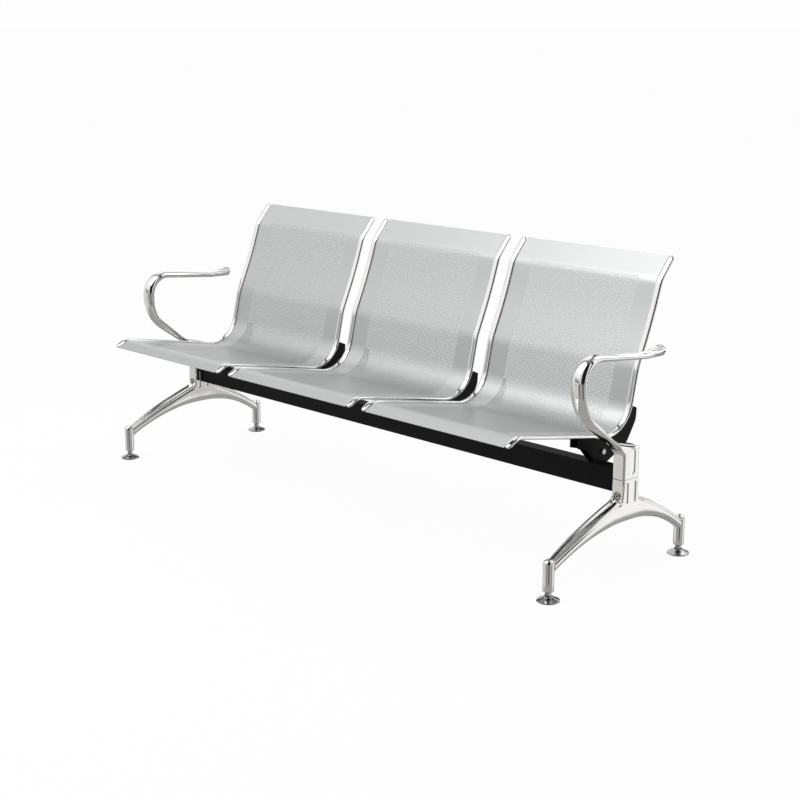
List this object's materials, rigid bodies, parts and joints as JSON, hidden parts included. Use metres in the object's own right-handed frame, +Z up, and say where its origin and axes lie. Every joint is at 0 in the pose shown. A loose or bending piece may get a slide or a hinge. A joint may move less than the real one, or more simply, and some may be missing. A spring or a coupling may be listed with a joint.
{
  "type": "beam seating",
  "caption": "Waiting-room beam bench of curved perforated steel seats in a row on one rectangular beam, with arched two-foot legs, looped armrests and levelling feet.",
  "frame": {"origin": "centre of the footprint on the floor, under the middle of the overall box", "axes": "X along the beam, -Y towards the sitter's front, +Z up"},
  "size_m": [1.835, 0.6245, 0.7812],
  "materials": {
    "cast_chrome": "cast, polished and chrome plated",
    "rail_chrome": "polished",
    "foot_chrome": "polished",
    "silver_paint": "satin silver powder coat",
    "black_paint": "semi-gloss powder coat",
    "zinc": "zinc plated",
    "brass_insert": "machined",
    "black_rubber": "matt"
  },
  "bodies": {
    "frame": {"beam": "black_paint", "end_plate_right": "black_paint", "end_plate_left": "black_paint", "leg_right": "cast_chrome", "leg_left": "cast_chrome", "leg_bolts": "zinc", "arm_right": "cast_chrome", "arm_left": "cast_chrome", "arm_bolts": "zinc", "seat_shell_1": "silver_paint", "edge_rail_1_left": "rail_chrome", "edge_rail_1_right": "rail_chrome", "seat_shell_2": "silver_paint", "edge_rail_2_left": "rail_chrome", "edge_rail_2_right": "rail_chrome", "seat_shell_3": "silver_paint", "edge_rail_3_left": "rail_chrome", "edge_rail_3_right": "rail_chrome", "seat_bracket_1_left": "black_paint", "seat_bracket_1_right": "black_paint", "seat_bracket_2_left": "black_paint", "seat_bracket_2_right": "black_paint", "seat_bracket_3_left": "black_paint", "seat_bracket_3_right": "black_paint", "seat_studs": "zinc", "seat_stud_nuts": "zinc", "beam_saddle_1": "black_paint", "beam_saddle_2": "black_paint", "beam_saddle_3": "black_paint", "beam_saddle_4": "black_paint", "beam_saddle_5": "black_paint", "beam_saddle_6": "black_paint", "bracket_bolts": "zinc", "bracket_nuts": "zinc", "glide_insert_front_left": "brass_insert", "glide_insert_rear_left": "brass_insert", "glide_insert_front_right": "brass_insert", "glide_insert_rear_right": "brass_insert"},
    "foot_front_left": {"glide_pad_front_left": "foot_chrome", "glide_liner_front_left": "black_rubber"},
    "stem_front_left": {"glide_stem_front_left": "foot_chrome"},
    "foot_rear_left": {"glide_pad_rear_left": "foot_chrome", "glide_liner_rear_left": "black_rubber"},
    "stem_rear_left": {"glide_stem_rear_left": "foot_chrome"},
    "foot_front_right": {"glide_pad_front_right": "foot_chrome", "glide_liner_front_right": "black_rubber"},
    "stem_front_right": {"glide_stem_front_right": "foot_chrome"},
    "foot_rear_right": {"glide_pad_rear_right": "foot_chrome", "glide_liner_rear_right": "black_rubber"},
    "stem_rear_right": {"glide_stem_rear_right": "foot_chrome"}
  },
  "joints": [
    {"name": "level_front_left", "type": "slide", "parent": "frame", "child": "foot_front_left", "axis": [0, 0, 1], "range_m": [-0.015, 0.0015]},
    {"name": "screw_front_left", "type": "hinge", "parent": "foot_front_left", "child": "stem_front_left", "pos_m": [-0.889, -0.2312, 0.02], "axis": [0, 0, 1], "range_deg": [-3610, 370]},
    {"name": "level_rear_left", "type": "slide", "parent": "frame", "child": "foot_rear_left", "axis": [0, 0, 1], "range_m": [-0.015, 0.0015]},
    {"name": "screw_rear_left", "type": "hinge", "parent": "foot_rear_left", "child": "stem_rear_left", "pos_m": [-0.889, 0.2838, 0.02], "axis": [0, 0, 1], "range_deg": [-3610, 370]},
    {"name": "level_front_right", "type": "slide", "parent": "frame", "child": "foot_front_right", "axis": [0, 0, 1], "range_m": [-0.015, 0.0015]},
    {"name": "screw_front_right", "type": "hinge", "parent": "foot_front_right", "child": "stem_front_right", "pos_m": [0.889, -0.2312, 0.02], "axis": [0, 0, 1], "range_deg": [-3610, 370]},
    {"name": "level_rear_right", "type": "slide", "parent": "frame", "child": "foot_rear_right", "axis": [0, 0, 1], "range_m": [-0.015, 0.0015]},
    {"name": "screw_rear_right", "type": "hinge", "parent": "foot_rear_right", "child": "stem_rear_right", "pos_m": [0.889, 0.2838, 0.02], "axis": [0, 0, 1], "range_deg": [-3610, 370]}
  ],
  "couplings": [
    {"joint": "screw_front_left", "follows": "level_front_left", "rad_per_m": 4188.8},
    {"joint": "screw_rear_left", "follows": "level_rear_left", "rad_per_m": 4188.8},
    {"joint": "screw_front_right", "follows": "level_front_right", "rad_per_m": 4188.8},
    {"joint": "screw_rear_right", "follows": "level_rear_right", "rad_per_m": 4188.8}
  ]
}
